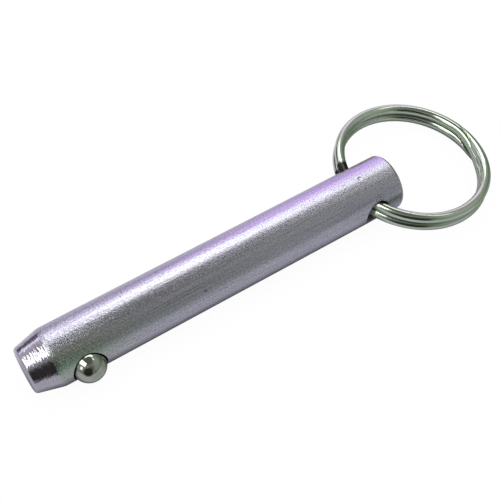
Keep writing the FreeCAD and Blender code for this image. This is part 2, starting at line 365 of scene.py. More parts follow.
def add_head(surface, last_grid_row):
    """Add the head's chamfer, with both corners eased, and the head face."""
    start_x = HEAD_X - HEAD_CHAMFER_LENGTH
    start_radius = skin_radius(start_x)
    lean = math.atan2(HEAD_CHAMFER_DEPTH, HEAD_CHAMFER_LENGTH)
    face_radius = start_radius - HEAD_CHAMFER_DEPTH
    size = HEAD_CORNER_ROUND
    upper = arc_profile(start_x - size * math.tan(lean / 2), start_radius - size, size,
                        math.pi / 2, math.pi / 2 + lean, HEAD_OUTER_STEPS)
    inset = size * math.tan((math.pi / 2 - lean) / 2)
    lower = arc_profile(HEAD_X - size, face_radius - inset, size,
                        math.pi / 2 + lean, math.pi, HEAD_INNER_STEPS)
    face = [(HEAD_X, face_radius * share) for share in HEAD_FACE_CIRCLES]
    last = turned_rows(surface, upper, last_grid_row, SKIN)
    last = turned_rows(surface, lower, last, SKIN)
    last = turned_rows(surface, face, last, TURNED)
    surface.fan(last, (HEAD_X, 0, 0), TURNED)


def spaced(start, end, count):
    """Return count equal steps from start to end, without the start."""
    return [start + (end - start) * step / count for step in range(1, count + 1)]


def ring_patch_half():
    """Half the width of the patch round the cross hole, along the axis."""
    return min(HOLE_X - GRIP_HALF, GRIP_RADIUS * TURN * RING_PATCH_CELLS / SIDES)


class Patch:
    """A square window in the cylinder's grid, centred on a hole along Y.

    side is 1 for the -Y side of the shank, where the ball is, and -1 for the +Y side.
    """

    def __init__(self, x, half, cells, radius, side):
        self.x = x
        self.half = half
        self.cells = cells
        self.radius = radius
        self.side = side
        self.first_column = -cells if side > 0 else SIDES // 2 - cells

    def holds_cell(self, x, column):
        """Say if the grid cell that starts at x and column lies in the window."""
        offset = (column - self.first_column) % SIDES
        return -self.half - TINY < x - self.x < self.half - TINY and offset < 2 * self.cells

    def holds_point(self, x, column):
        """Say if a grid point lies inside the window, off its edges."""
        offset = (column - self.first_column) % SIDES
        return abs(x - self.x) < self.half - TINY and 0 < offset < 2 * self.cells

    def mouth_angle(self, turn):
        """Angle round the shank of the hole's mouth, at a turn round the hole."""
        lean = math.asin(self.radius * math.sin(turn) / GRIP_RADIUS)
        return lean if self.side > 0 else math.pi - lean


def make_grid(surface, stations, patches):
    """Add the cylinder's grid, leaving out the windows, and return its point numbers."""
    grid = {}
    for row, x in enumerate(stations):
        for column in range(SIDES):
            if any(patch.holds_point(x, column) for patch in patches):
                continue
            angle = TURN * column / SIDES
            point = round_point(x, skin_radius(x), angle)
            grid[row, column] = surface.row([point], [skin_normal(angle)])[0]
    for row, x in enumerate(stations[:-1]):
        for column in range(SIDES):
            if any(patch.holds_cell(x, column) for patch in patches):
                continue
            after = (column + 1) % SIDES
            surface.face((grid[row, column], grid[row, after], grid[row + 1, after],
                          grid[row + 1, column]), SKIN)
    return grid


def window_loop(stations, patch):
    """Return the window's edge as (row, column, turn round the hole), starting at one corner."""
    rows = [row for row, x in enumerate(stations) if abs(x - patch.x) < patch.half + TINY]
    steps = 2 * patch.cells
    left = patch.first_column
    right = left + steps
    corners = [(rows[-1], left), (rows[-1], right), (rows[0], right), (rows[0], left)]
    loop = []
    for side, ((row, column), (next_row, next_column)) in enumerate(
            zip(corners, corners[1:] + corners[:1])):
        for step in range(steps):
            turn = -math.pi / 4 + math.pi / 2 * (side + step / steps)
            at_row = row + (next_row - row) * step // steps
            at_column = column + (next_column - column) * step // steps
            loop.append((at_row, at_column, turn))
    return loop


def add_patch(surface, grid, stations, patch, lift=None):
    """Fill the window down to the hole's mouth and return the last row and its turns.

    lift(turn, share) raises the skin near the mouth, as a burr does.
    """
    loop = window_loop(stations, patch)
    last = [grid[row, column % SIDES] for row, column, turn in loop]
    turns = [patch.side * turn for row, column, turn in loop]
    for ring in range(1, PATCH_RINGS + 1):
        share = 1 - (1 - ring / PATCH_RINGS) ** PATCH_CROWDING
        points = []
        normals = []
        for (row, column, _), turn in zip(loop, turns):
            mouth_x = patch.x + patch.radius * math.cos(turn)
            x = stations[row] + (mouth_x - stations[row]) * share
            start = TURN * column / SIDES
            angle = start + (patch.mouth_angle(turn) - start) * share
            raised = lift(turn, share) if lift else 0
            points.append(round_point(x, skin_radius(x) + raised, angle))
            normals.append(Vector() if raised else skin_normal(angle))
        last = surface.extend(last, points, SKIN, normals)
    return last, turns


def burr(turn, share):
    """Height of the rough lip that the drill left along the upper edge of the cross hole."""
    upper = max(math.sin(turn), 0) ** 6
    rough = 0.5 + 0.5 * math.sin(23 * turn) * math.sin(41 * turn + 1)
    return BURR_HEIGHT * upper * rough * max(share - BURR_START, 0) / (1 - BURR_START)


def add_rim(surface, patch, start, turns, edge, slot):
    """Round the hole's edge down into it and return the last row."""
    last = start
    for step in range(1, RIM_STEPS + 1):
        angle = math.pi / 2 * step / RIM_STEPS
        inward = edge * math.sin(angle)
        sunk = patch.side * edge * (1 - math.cos(angle))
        points = []
        for number, turn in zip(start, turns):
            toward_axis = Vector((-math.cos(turn), 0, -math.sin(turn)))
            points.append(surface.points[number] + toward_axis * inward + Vector((0, sunk, 0)))
        last = surface.extend(last, points, slot)
    return last


def add_cross_hole(surface, grid, stations, near, far):
    """Open the ring's hole right through, with an eased edge at both mouths."""
    near_row, near_turns = add_patch(surface, grid, stations, near, burr)
    far_row, far_turns = add_patch(surface, grid, stations, far)
    near_row = add_rim(surface, near, near_row, near_turns, RING_HOLE_EDGE, SKIN)
    far_row = add_rim(surface, far, far_row, far_turns, RING_HOLE_EDGE, SKIN)
    count = len(near_row)
    far_row = [far_row[(count // 4 - i) % count] for i in range(count)]
    last = near_row
    for share in spaced(0, 1, CROSS_HOLE_STEPS)[:-1]:
        ends = zip(near_row, far_row)
        points = [surface.points[a].lerp(surface.points[b], share) for a, b in ends]
        last = surface.extend(last, points, BORE)
    surface.band(last, far_row, BORE)


def add_ball_bore(surface, grid, stations, patch):
    """Sink the ball's bore: a groove at the mouth, the wall, and the drill's point, all painted near
    black as shade.

    BALL_MOUTH_FLARE gives the groove as steps of widening and of depth below the mouth.
    """
    row, turns = add_patch(surface, grid, stations, patch)
    row = add_rim(surface, patch, row, turns, BALL_MOUTH_EDGE, BORE)
    mouth = [surface.points[number].y for number in row]
    point_depth = BALL_BORE_RADIUS / math.tan(DRILL_HALF_ANGLE)
    wall = []
    for widening, sunk in BALL_MOUTH_FLARE:
        wall.append((BALL_BORE_RADIUS + widening, [y + sunk for y in mouth]))
    for share in BORE_WALL_SHARES:
        wall.append((BALL_BORE_RADIUS, [y + (BALL_BORE_FLOOR - y) * share for y in mouth]))
    for share in BORE_POINT_SHARES:
        depths = [BALL_BORE_FLOOR + point_depth * share] * len(turns)
        wall.append((BALL_BORE_RADIUS * (1 - share), depths))
    for radius, depths in wall:
        points = [(patch.x + radius * math.cos(turn), depth, radius * math.sin(turn))
                  for turn, depth in zip(turns, depths)]
        row = surface.extend(row, points, BORE)
    surface.fan(row, (patch.x, BALL_BORE_FLOOR + point_depth, 0), BORE)


def shank_stations():
    """Places along the axis of the cylinder grid's rows."""
    base_x = TIP_X + CONE_LENGTH
    slope = math.atan2(skin_radius(base_x) - TIP_FACE_RADIUS, CONE_LENGTH)
    first = base_x + CONE_SHOULDER_ROUND * math.tan(slope / 2)
    last = HEAD_X - HEAD_CHAMFER_LENGTH - HEAD_CORNER_ROUND
    ball_x = BALL_CENTRE.x
    ring_half = ring_patch_half()
    stations = [first]
    stations += spaced(first, ball_x - BALL_PATCH_HALF, TIP_ZONE_STEPS)
    stations += spaced(ball_x - BALL_PATCH_HALF, ball_x + BALL_PATCH_HALF, 2 * BALL_PATCH_CELLS)
    grip_end = HOLE_X - ring_half
    middle = grip_end - ball_x - BALL_PATCH_HALF
    stations += spaced(ball_x + BALL_PATCH_HALF, grip_end, round(middle / GRIP_STEP))
    stations += spaced(grip_end, HOLE_X + ring_half, 2 * RING_PATCH_CELLS)
    stations += spaced(HOLE_X + ring_half, last, HEAD_ZONE_STEPS)
    return stations


def make_shank(materials):
    """Build the shank as one closed mesh, of quads but for the middles of its end faces and bore."""
    surface = Surface()
    ball_mouth = BALL_BORE_RADIUS + BALL_MOUTH_GROOVE
    ring_mouth = RING_HOLE_RADIUS + RING_HOLE_EDGE
    half = ring_patch_half()
    ball_patch = Patch(BALL_CENTRE.x, BALL_PATCH_HALF, BALL_PATCH_CELLS, ball_mouth, 1)
    near = Patch(HOLE_X, half, RING_PATCH_CELLS, ring_mouth, 1)
    far = Patch(HOLE_X, half, RING_PATCH_CELLS, ring_mouth, -1)
    stations = shank_stations()
    grid = make_grid(surface, stations, (ball_patch, near, far))
    add_ball_bore(surface, grid, stations, ball_patch)
    add_cross_hole(surface, grid, stations, near, far)
    first_row = [grid[0, column] for column in range(SIDES)]
    last_row = [grid[len(stations) - 1, column] for column in range(SIDES)]
    add_tip(surface, first_row)
    add_head(surface, last_row)
    return surface.build("shank_finish", materials)


# Ball, spring and split ring


def make_ball(material):
    """Build the ball from a gridded cube blown up to a sphere, so that it has no poles."""
    work = bmesh.new()
    bmesh.ops.create_cube(work, size=2)
    bmesh.ops.subdivide_edges(work, edges=work.edges[:], cuts=BALL_CELLS - 1, use_grid_fill=True)
    for vert in work.verts:
        spread = Vector(math.tan(value * math.pi / 4) for value in vert.co)
        vert.co = (BALL_CENTRE + spread.normalized() * BALL_RADIUS) * MM
    for face in work.faces:
        face.smooth = True
    mesh = bpy.data.meshes.new("ball_polished")
    work.to_mesh(mesh)
    work.free()
    mesh.materials.append(material)
    return show("ball_polished", mesh)


def sweep(surface, sections, along):
    """Join wire sections into a capped tube.

    Its UVs are millimetres along the wire, and millimetres round a wire as thick as the ring's.
    """
    rows = [surface.row(section) for section in sections]
    sides = len(sections[0])
    for i in range(len(rows) - 1):
        for j in range(sides):
            k = (j + 1) % sides
            corners = (rows[i][j], rows[i][k], rows[i + 1][k], rows[i + 1][j])
            places = ((along[i], j), (along[i], j + 1), (along[i + 1], j + 1), (along[i + 1], j))
            surface.face(corners, 0, [(u, RING_WIRE * TURN * v / sides) for u, v in places])
    for row, place in ((rows[0], along[0]), (rows[-1], along[-1])):
        centre = sum((surface.points[number] for number in row), Vector()) / sides
        surface.fan(row, centre, uvs=[(place, 0)] * 3)


def steps_between(start, end, step):
    """Return evenly spaced values from start to end, about step apart."""
    return [start] + spaced(start, end, round((end - start) / step))


def spring_rise(turns):
    """Height of the spring's wire after some turns, with one closed turn at each end."""
    length = SPRING_HIGH.y - SPRING_LOW.y - 2 * SPRING_WIRE
    opening = length - SPRING_CLOSED_PITCH * SPRING_TURNS
    opened = min(max((turns - 1) / (SPRING_TURNS - 2), 0), 1)
    return SPRING_CLOSED_PITCH * turns + opening * smooth_step(opened)


def spring_out(turns):
    """Direction from the spring's middle to its wire after some turns."""
    angle = TURN * turns
    return Vector((math.cos(angle), 0, math.sin(angle)))


def spring_centre(turns):
    """Centre of the spring's wire after some turns from the floor of the bore."""
    start = Vector((BALL_CENTRE.x, SPRING_HIGH.y - SPRING_WIRE, 0))
    return start + spring_out(turns) * SPRING_RADIUS + Vector((0, -spring_rise(turns), 0))


def spring_section(turns):
    """Outline of the spring's wire after some turns."""
    nudge = 0.001
    ahead = (spring_centre(turns + nudge) - spring_centre(turns - nudge)).normalized()
    out = spring_out(turns)
    side = ahead.cross(out)
    angles = [TURN * k / SPRING_SIDES for k in range(SPRING_SIDES)]
    return [spring_centre(turns) + (out * math.cos(a) + side * math.sin(a)) * SPRING_WIRE
            for a in angles]


def make_spring(material):
    """Coil the detent spring from the floor of the bore up to the ball."""
    angles = steps_between(0, 360 * SPRING_TURNS, SPRING_STEP)
    surface = Surface()
    sweep(surface, [spring_section(angle / 360) for angle in angles],
          [SPRING_RADIUS * math.radians(angle) for angle in angles])
    return surface.build("spring_coil", [material])


def ring_height(angle):
    """Height of the wire's centre over the ring's middle, at degrees along the two turns."""
    level = RING_WIRE + RING_LAYER_GAP / 2
    share = (angle - RING_RISE_START - 360) / RING_RISE_SPAN
    return level * (2 * smooth_step(min(max(share, 0), 1)) - 1)


def ring_ends():
    """Degrees along the two turns at which the wire starts and ends."""
    lying = RING_RISE_SPAN * RING_END_SHARE
    return RING_RISE_START + RING_RISE_SPAN - lying, RING_RISE_START + 720 + lying


def ring_room(angle):
    """Room for the wire before it meets the climbing part, and which side that part is on.

    The side is 1 where the climbing part is above and -1 where it is below.
    """
    clear = RING_WIRE + RING_END_GAP
    if angle < RING_RISE_START + RING_RISE_SPAN:
        return ring_height(angle + 360) - ring_height(angle) - clear, 1
    if angle > RING_RISE_START + 720:
        return ring_height(angle) - ring_height(angle - 360) - clear, -1
    return RING_WIRE, 1


def ring_nib(angle):
    """Share of the wire's width that is ground off on the inner side, growing towards each tip."""
    start, end = ring_ends()
    to_tip = min(angle - start, end - angle)
    return max(1 - to_tip / RING_NIB_ARC, 0) * RING_NIB_SHARE


def wire_section(room, nib):
    """Outline of the wire, as (across, up) points.

    It is ground flat at room above its centre, and a share nib of its width is ground off inside.
    """
    room = min(max(room, TINY - RING_WIRE), RING_WIRE)
    kept = math.acos(-room / RING_WIRE)
    shared = math.pi * RING_ARC_SIDES / RING_SIDES
    flat = math.sqrt(RING_WIRE ** 2 - room ** 2)
    points = []
    for side in range(RING_SIDES):
        angle = TURN * (side / RING_SIDES - 0.5)
        limit = max(kept, shared)
        if abs(angle) <= limit:
            turned = angle * min(kept / shared, 1)
            points.append((RING_WIRE * math.sin(turned), -RING_WIRE * math.cos(turned)))
        else:
            share = (math.pi - abs(angle)) / (math.pi - limit)
            points.append((math.copysign(flat * share, angle), room))
    widest = max(across for across, up in points)
    inner = widest * (2 * nib - 1)
    return [(max(across, inner), up) for across, up in points]


def ring_section(angle):
    """Place the wire's outline at degrees along the two turns."""
    turned = math.radians(angle)
    across_shank = Vector((0, 1, 0))
    reach = across_shank.cross(RING_AXIS)
    out = reach * math.cos(turned) + across_shank * math.sin(turned)
    ahead = across_shank * math.cos(turned) - reach * math.sin(turned)
    rise = ring_height(angle + 0.5) - ring_height(angle - 0.5)
    tilt = math.atan(rise / (RING_RADIUS * math.radians(1)))
    up = RING_AXIS * math.cos(tilt) - ahead * math.sin(tilt)
    centre = RING_CENTRE + out * RING_RADIUS + RING_AXIS * ring_height(angle)
    room, side = ring_room(angle)
    outline = wire_section(room, ring_nib(angle))
    if side < 0:
        turned_over = [outline[RING_SIDES // 2 - k] for k in range(RING_SIDES)]
        outline = [(across, -height) for across, height in turned_over]
    return [centre + out * across + up * height for across, height in outline]


def make_ring(material):
    """Coil the split ring: two turns with a long climb between them and tapered ends."""
    angles = steps_between(*ring_ends(), RING_STEP)
    surface = Surface()
    sweep(surface, [ring_section(angle) for angle in angles],
          [RING_RADIUS * math.radians(angle) for angle in angles])
    return surface.build("ring_coil", [material], sharp=RING_SHARP_ANGLE)


# Materials: linear colours, where a pair holds the two ends between which a texture goes.

ZINC_STREAKS = (0.45, 0.45, 0.505, 1), (0.80, 0.795, 0.85, 1)
ZINC_GRAIN = (0.34, 0.34, 0.385, 1), (0.95, 0.945, 1.0, 1)
ZINC_SPECK = (0.33, 0.33, 0.36, 1)
ZINC_STAIN = (0.06, 0.06, 0.065, 1)
TURNED_RINGS = (0.56, 0.55, 0.58, 1), (0.80, 0.79, 0.82, 1)
# The bore walls, painted near black as the shade inside the holes.
BORE_PAINTED_SHADE = (0.05, 0.045, 0.04, 1), (0.16, 0.155, 0.15, 1)
# The plate inside the ring's hole: its own colour, painted paler as light on the hole's lower wall.
PLATE_AND_PAINTED_LIGHT = (0.80, 0.79, 0.84, 1)
# Ball steel colours, tinted green: the steel's own tone with a painted reflection of the room's green.
STEEL_AND_GREEN_REFLECTION = (0.53, 0.58, 0.46, 1), (0.60, 0.64, 0.53, 1)
SPRING_STEEL = (0.20, 0.19, 0.17, 1), (0.32, 0.30, 0.27, 1)
# Nickel colours, tinted green: the nickel's own tone with a painted reflection of the room's green.
NICKEL_AND_GREEN_REFLECTION = (0.66, 0.78, 0.58, 1), (0.80, 0.90, 0.72, 1)
# Near black for the arc of the ring in and beside the shank's hole.
RING_DARK_ARC = (0.012, 0.011, 0.009, 1)

# Tints, which multiply a colour. The first two are a painted olive and green reflection on the zinc
# near the tip; the third greys the nickel where it mirrors the violet patch.

OLIVE_REFLECTION_TINT = (0.93, 0.99, 0.80)
GREEN_REFLECTION_TINT = (0.88, 1.06, 0.93)
NICKEL_IN_VIOLET = (0.96, 1.11, 0.77)

# Where the skin changes: each fade's start and end, in millimetres along the shank or round it.

# This fade sets both the wear towards the tip and the painted reflection tint there.
WEAR_AND_TINT_FADE = (-18, -38)
OLIVE_UPPER_FADE = (8.6, 6.4)
OLIVE_BACK_FADE = (-17, -9)
GREEN_UPPER_FADE = (5.9, 4.8)
GREEN_LOWER_FADE = (1.0, 3.2)
GREEN_END_FADE = (-27, -37)
# These two fades place the plate in the ring's hole together with its painted light.
PLATE_LIGHT_HALF_FADE = (0, 10)
PLATE_LIGHT_DEPTH_FADE = (3.6, 5.4)

# Marks on the skin: millimetres along the shank, degrees round it, full within and gone past.

SCUFF = (35.3, 34, 0.4, 1.3)
NICK = (-8.4, 36, 0.1, 0.45)
DENT = (33.4, 90, 0.15, 0.6)
DENT_WEIGHT = 14.0
SCRATCH_EDGE = 0.05

# Shading of narrow places: reach in millimetres, open share where it is darkest, darkest factor.

BALL_SHADE = (2.4, 0.45, 0.03)
RING_SHADE = (1.5, 0.3, 0.35)
SHADE_CLEAR = 0.95
SHADE_SAMPLES = 8


class Graph:
    """Short calls for adding and joining the nodes of a tree."""

    def __init__(self, tree):
        self.tree = tree
        tree.nodes.clear()

    def add(self, kind, inputs, **settings):
        """Add a node, and set or link its inputs."""
        node = self.tree.nodes.new(kind)
        for name, value in settings.items():
            setattr(node, name, value)
        for name, value in inputs.items():
            if isinstance(value, bpy.types.NodeSocket):
                self.tree.links.new(value, node.inputs[name])
            else:
                node.inputs[name].default_value = value
        return node

    def math(self, operation, first, second=0.0):
        """Work out one operation on numbers."""
        return self.add("ShaderNodeMath", {0: first, 1: second}, operation=operation).outputs[0]

    def times(self, first, second):
        """Multiply two numbers."""
        return self.math("MULTIPLY", first, second)

    def plus(self, first, second):
        """Add two numbers."""
        return self.math("ADD", first, second)

    def split(self, vector):
        """Return the three parts of a vector."""
        return tuple(self.add("ShaderNodeSeparateXYZ", {0: vector}).outputs)

    def join(self, first, second, third=0.0):
        """Make a vector of three parts."""
        return self.add("ShaderNodeCombineXYZ", {0: first, 1: second, 2: third}).outputs[0]

    def vectors(self, operation, inputs, result="Vector"):
        """Work out one operation on vectors."""
        return self.add("ShaderNodeVectorMath", inputs, operation=operation).outputs[result]

    def dot(self, first, second):
        """Dot product of two vectors."""
        return self.vectors("DOT_PRODUCT", {0: first, 1: second}, "Value")

    def stretch(self, vector, factors):
        """Multiply a vector part by part."""
        return self.vectors("MULTIPLY", {0: vector, 1: factors})

    def scale(self, vector, factor):
        """Multiply a whole vector or colour by one number."""
        return self.vectors("SCALE", {0: vector, "Scale": factor})

    def ease(self, value, low, high, start=0.0, end=1.0):
        """Go smoothly from start to end while value goes from low to high."""
        inputs = {"Value": value, "From Min": low, "From Max": high, "To Min": start, "To Max": end}
        return self.add("ShaderNodeMapRange", inputs, interpolation_type="SMOOTHSTEP").outputs[0]

    def mix(self, share, first, second):
        """Mix two colours."""
        inputs = {0: share, 6: first, 7: second}
        return self.add("ShaderNodeMix", inputs, data_type="RGBA").outputs[2]

    def noise(self, vector, factors, detail=3.0, roughness=0.55):
        """Noise whose grain is stretched by factors, per millimetre."""
        inputs = {"Vector": self.stretch(vector, factors), "Scale": 1.0, "Detail": detail,
                  "Roughness": roughness}
        return self.add("ShaderNodeTexNoise", inputs).outputs[0]

    def relief(self, *layers):
        """Lay bumps over one another and return their normal.

        A layer is a height from 0 to 1 and its depth in millimetres, negative where it goes inwards.
        """
        normal = None
        for height, depth_mm in layers:
            if depth_mm < 0:
                height = self.math("SUBTRACT", 1.0, height)
            inputs = {"Height": height, "Distance": abs(depth_mm) * MM, "Strength": 1.0}
            if normal is not None:
                inputs["Normal"] = normal
            normal = self.add("ShaderNodeBump", inputs).outputs[0]
        return normal


def object_mm(graph):
    """Object coordinates in millimetres."""
    place = graph.add("ShaderNodeTexCoord", {}).outputs["Object"]
    return graph.stretch(place, (1 / MM, 1 / MM, 1 / MM))


def wire_mm(graph):
    """UV coordinates, which are millimetres along and round a wire."""
    return graph.add("ShaderNodeTexCoord", {}).outputs["UV"]


def skin_mm(graph):
    """Coordinates unrolled from the shank: along the axis, round it, and out from it."""
    along, depth, up = graph.split(object_mm(graph))
    angle = graph.math("ARCTAN2", up, graph.times(depth, -1))
    across = graph.math("SQRT", graph.plus(graph.times(depth, depth), graph.times(up, up)))
    return graph.join(along, graph.times(angle, GRIP_RADIUS), across)


def metal(name, paint):
    """Make a metal whose colour, roughness and normal come from paint(graph)."""
    material = bpy.data.materials.new(name)
    material.use_nodes = True
    graph = Graph(material.node_tree)
    colour, roughness, normal = paint(graph)
    inputs = {"Base Color": colour, "Metallic": 1.0, "Roughness": roughness, "Normal": normal}
    shader = graph.add("ShaderNodeBsdfPrincipled", inputs)
    graph.add("ShaderNodeOutputMaterial", {"Surface": shader.outputs[0]})
    return material


def turned_vector(graph, vector, degrees):
    """Turn coordinates about the third axis."""
    inputs = {"Vector": vector, "Angle": math.radians(degrees)}
    return graph.add("ShaderNodeVectorRotate", inputs, rotation_type="Z_AXIS").outputs[0]


def openness(graph, reach):
    """Share of a point's surroundings that is clear for reach millimetres."""
    inputs = {"Distance": reach * MM}
    return graph.add("ShaderNodeAmbientOcclusion", inputs, samples=SHADE_SAMPLES).outputs["AO"]


def shaded(graph, colour, reach, shut, darkest):
    """Darken a colour in narrow places, where something stands closer than reach millimetres.

    It is darkest where no more than the share shut of its surroundings is open.
    """
    dimming = graph.ease(openness(graph, reach), shut, SHADE_CLEAR, darkest)
    return graph.scale(colour, dimming)


def scratches(graph, vector, degrees, factors, threshold):
    """Thin straight scratches that lie at an angle, as a height from 0 to 1."""
    lines = graph.noise(turned_vector(graph, vector, degrees), factors, detail=1.0)
    return graph.ease(lines, threshold, threshold + SCRATCH_EDGE)


def spot(graph, skin, x, degrees, inner, outer):
    """Round spot on the unrolled skin, 1 within the inner radius and 0 past the outer one."""
    place = Vector((x, GRIP_RADIUS * math.radians(degrees), 0))
    offset = graph.vectors("DISTANCE", {0: graph.stretch(skin, (1, 1, 0)), 1: place}, "Value")
    return graph.ease(offset, inner, outer, 1.0, 0.0)


def clouds(graph):
    """Soft uneven patches through the metal."""
    return graph.noise(object_mm(graph), (0.35, 0.5, 0.5))


def tip_painted_reflection(graph, colour, skin, wear_and_tint):
    """Paint a reflection tint near the tip, for olive and green things the metal mirrors: olive round
    the front and below, green by the ball.
    """
    along, around, _ = graph.split(skin)
    olive_reflection = graph.times(graph.ease(around, *OLIVE_UPPER_FADE), graph.ease(around, *OLIVE_BACK_FADE))
    olive_reflection = graph.times(wear_and_tint, olive_reflection)
    olive_reflection = graph.times(olive_reflection, graph.ease(clouds(graph), 0.2, 0.6, 0.5))
    colour = graph.mix(olive_reflection, colour, graph.stretch(colour, OLIVE_REFLECTION_TINT))
    green_reflection = graph.times(graph.ease(around, *GREEN_UPPER_FADE), graph.ease(around, *GREEN_LOWER_FADE))
    green_reflection = graph.times(green_reflection, graph.ease(along, *GREEN_END_FADE))
    return graph.mix(green_reflection, colour, graph.stretch(colour, GREEN_REFLECTION_TINT))


def plate_colour(graph, skin, drawn, grain, speck, scuffed):
    """Colour of the plate: streaks and grain in equal parts, dark specks and stained marks."""
    streaked = graph.mix(graph.ease(drawn, 0.3, 0.6), *ZINC_STREAKS)
    mottled = graph.mix(graph.ease(grain, 0.3, 0.7), *ZINC_GRAIN)
    colour = graph.mix(0.5, streaked, mottled)
    colour = graph.mix(graph.times(speck, 0.45), colour, ZINC_SPECK)
    nicked = graph.times(spot(graph, skin, *NICK), 0.6)
    stained = graph.math("MAXIMUM", graph.times(scuffed, 0.3), nicked)
    return graph.mix(stained, colour, ZINC_STAIN)


def plate_roughness(graph, grain, wear_and_tint):
    """Roughness of the plate, which grows a little where it is worn."""
    rough = graph.plus(graph.ease(clouds(graph), 0.3, 0.7, 0.16, 0.21), graph.times(grain, 0.08))
    return graph.plus(rough, graph.times(wear_and_tint, 0.02))


def plate_scratches(graph, skin, wear_and_tint):
    """Scratches one way, rubs the other way, and the dent on top, as one height."""
    cut = scratches(graph, skin, 28, (0.12, 3.6, 0), 0.68)
    rub = scratches(graph, skin, -35, (0.25, 3.2, 0), 0.64)
    rub = graph.times(rub, graph.ease(wear_and_tint, 0, 1, 0.5))
    dent = graph.times(spot(graph, skin, *DENT), DENT_WEIGHT)
    return graph.plus(graph.math("MAXIMUM", cut, rub), dent)


def zinc_skin(graph):
    """Bright zinc plate over cold-drawn bar: lengthwise streaks, fine grain, scratches and rubs.

    Towards the tip it is rougher, from use, and carries a painted olive and green reflection tint. By
    the cross hole it is scuffed.
    """
    skin = skin_mm(graph)
    solid = object_mm(graph)
    wear_and_tint = graph.ease(graph.split(skin)[0], *WEAR_AND_TINT_FADE)
    drawn = graph.noise(skin, (0.05, 3.4, 0), detail=4.0, roughness=0.65)
    grain = graph.noise(skin, (2.6, 2.0, 0), detail=4.0, roughness=0.75)
    speck = graph.ease(graph.noise(solid, (1.9, 1.9, 1.9)), 0.62, 0.70)
    pits = graph.ease(graph.noise(skin, (3.4, 4.2, 0)), 0.38, 0.62)
    scuffed = graph.times(pits, spot(graph, skin, *SCUFF))
    strokes = graph.noise(turned_vector(graph, skin, 55), (0.9, 3.2, 0))
    colour = plate_colour(graph, skin, drawn, grain, speck, scuffed)
    normal = graph.relief(
        (drawn, 0.022),
        (grain, 0.046),
        (graph.times(strokes, wear_and_tint), 0.09),
        (plate_scratches(graph, skin, wear_and_tint), -0.008),
        (scuffed, -0.2),
        (speck, -0.016),
    )
    # Near the tip the colour takes a painted olive and green reflection tint.
    return tip_painted_reflection(graph, colour, skin, wear_and_tint), plate_roughness(graph, grain, wear_and_tint), normal


def turned_zinc(graph):
    """Plated surface straight from the lathe: bright, with fine rings round the axis."""
    along, around, across = graph.split(skin_mm(graph))
    place = graph.join(graph.plus(along, across), around)
    rings = graph.noise(place, (4.5, 0.05, 0), roughness=0.7)
    chatter = graph.noise(place, (1.7, 0.85, 0), detail=2.0)
    colour = graph.mix(graph.ease(rings, 0.3, 0.7), *TURNED_RINGS)
    rough = graph.ease(rings, 0.3, 0.7, 0.08, 0.17)
    return colour, rough, graph.relief((rings, 0.014), (chatter, 0.07))


def drilled_bore(graph):
    """Drilled wall with drill rings, painted near black as the shade inside the holes; the plate
    reaches a little way into the ring's hole, painted paler there as light on its lower wall.
    """
    along, _, across = graph.split(skin_mm(graph))
    solid = object_mm(graph)
    rings = graph.noise(solid, (0.6, 5.0, 0.6), detail=2.0)
    mottle = graph.noise(solid, (0.9, 0.9, 0.9))
    # Near the ring hole's mouth the plate shows, painted paler than the skin as light on the hole's
    # lower wall.
    plate_and_light = graph.times(graph.ease(along, *PLATE_LIGHT_HALF_FADE), graph.ease(across, *PLATE_LIGHT_DEPTH_FADE))
    # The wall is painted near black as the shade inside the holes.
    colour = graph.mix(plate_and_light, graph.mix(mottle, *BORE_PAINTED_SHADE), PLATE_AND_PAINTED_LIGHT)
    wall_roughness = graph.ease(mottle, 0.3, 0.7, 0.28, 0.45)
    rough = graph.plus(wall_roughness, graph.times(plate_and_light, 0.35))
    return colour, rough, graph.relief((rings, 0.012))


def polished_steel(graph):
    """Lapped bearing steel: mirror bright, with the faintest scuffs and finger film, tinted green as a
    painted reflection of the room's green.
    """
    solid = object_mm(graph)
    mottle = graph.noise(solid, (0.8, 0.8, 0.8))
    scuff = graph.noise(solid, (9.0, 1.2, 3.0))
    colour = shaded(graph, graph.mix(mottle, *STEEL_AND_GREEN_REFLECTION), *BALL_SHADE)
    rough = graph.ease(mottle, 0.35, 0.7, 0.03, 0.07)
    return colour, rough, graph.relief((scuff, 0.0008))


def spring_steel(graph):
    """Drawn spring wire under a film of oil."""
    wire = wire_mm(graph)
    drawn = graph.noise(wire, (0.2, 9.0, 0))
    mottle = graph.noise(wire, (0.6, 1.5, 0), detail=2.0)
    rough = graph.ease(mottle, 0.3, 0.7, 0.22, 0.4)
    return graph.mix(mottle, *SPRING_STEEL), rough, graph.relief((drawn, 0.004))


def dark_arc_share(graph, wire):
    """Share of the ring painted near black, where it runs in and beside the shank's hole."""
    turns = graph.math("DIVIDE", graph.split(wire)[0], TURN * RING_RADIUS)
    share = graph.math("SUBTRACT", graph.math("FRACT", turns), DARK_ARC_MIDDLE / 360)
    ragged = graph.noise(wire, (1.2, 1.2, 0), detail=2.0)
    edge = graph.plus(graph.math("ABSOLUTE", share), graph.times(ragged, DARK_ARC_FRINGE / 360))
    full = DARK_ARC_HALF / 360
    return graph.ease(edge, full, full + DARK_ARC_FRINGE / 360, 0.96, 0.0)


